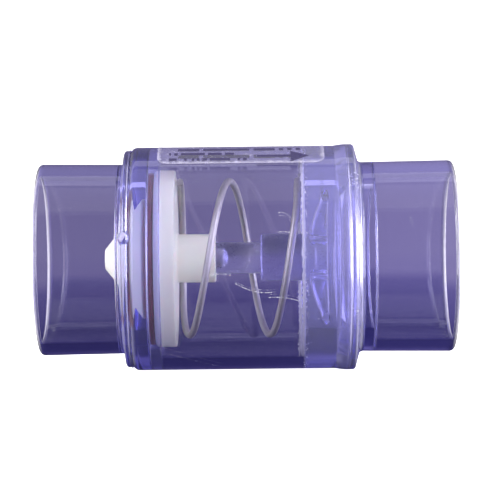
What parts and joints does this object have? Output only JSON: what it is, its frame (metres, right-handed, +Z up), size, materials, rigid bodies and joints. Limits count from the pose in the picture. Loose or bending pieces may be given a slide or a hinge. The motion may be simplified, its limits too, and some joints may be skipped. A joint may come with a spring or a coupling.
{
  "type": "spring check valve",
  "caption": "Clear plastic in-line spring check valve: two pipe sockets, a barrel, and a white poppet that a coil spring holds on its seat.",
  "frame": {"origin": "middle of the valve's axis, halfway between the two socket mouths", "axes": "+X along the axis in the direction of flow, from the inlet (nose side) to the outlet; +Z up through the label; -Y towards the side with the gate nub"},
  "size_m": [0.1492, 0.0814, 0.0814],
  "materials": {
    "clear_pvc": "clear rigid PVC with a violet-blue tint, glossy, lightly scratched",
    "white_pvc": "moulded white PVC, satin",
    "seal_rubber": "dark red moulded rubber",
    "spring_steel": "drawn stainless wire",
    "label_film": "clear matt film with plain printed bars",
    "dried_cement": "dried solvent cement, full of small bubbles"
  },
  "bodies": {
    "valve": {"valve_body": "clear_pvc", "inlet_adapter": "clear_pvc", "guide_spider": "clear_pvc", "guide_pin": "clear_pvc", "return_spring": "spring_steel", "label": "label_film", "lip_cement_bead": "dried_cement", "guide_cement_bead": "dried_cement", "skirt_cement_bead": "dried_cement"},
    "poppet": {"poppet": "white_pvc", "poppet_nose": "white_pvc", "seat_seal": "seal_rubber"}
  },
  "joints": [
    {"name": "poppet_lift", "type": "slide", "parent": "valve", "child": "poppet", "axis": [1, 0, 0], "range_m": [0, 0.0158], "stiffness_N_per_m": 1350, "springref_m": -0.0054, "deforming": ["return_spring"]}
  ]
}
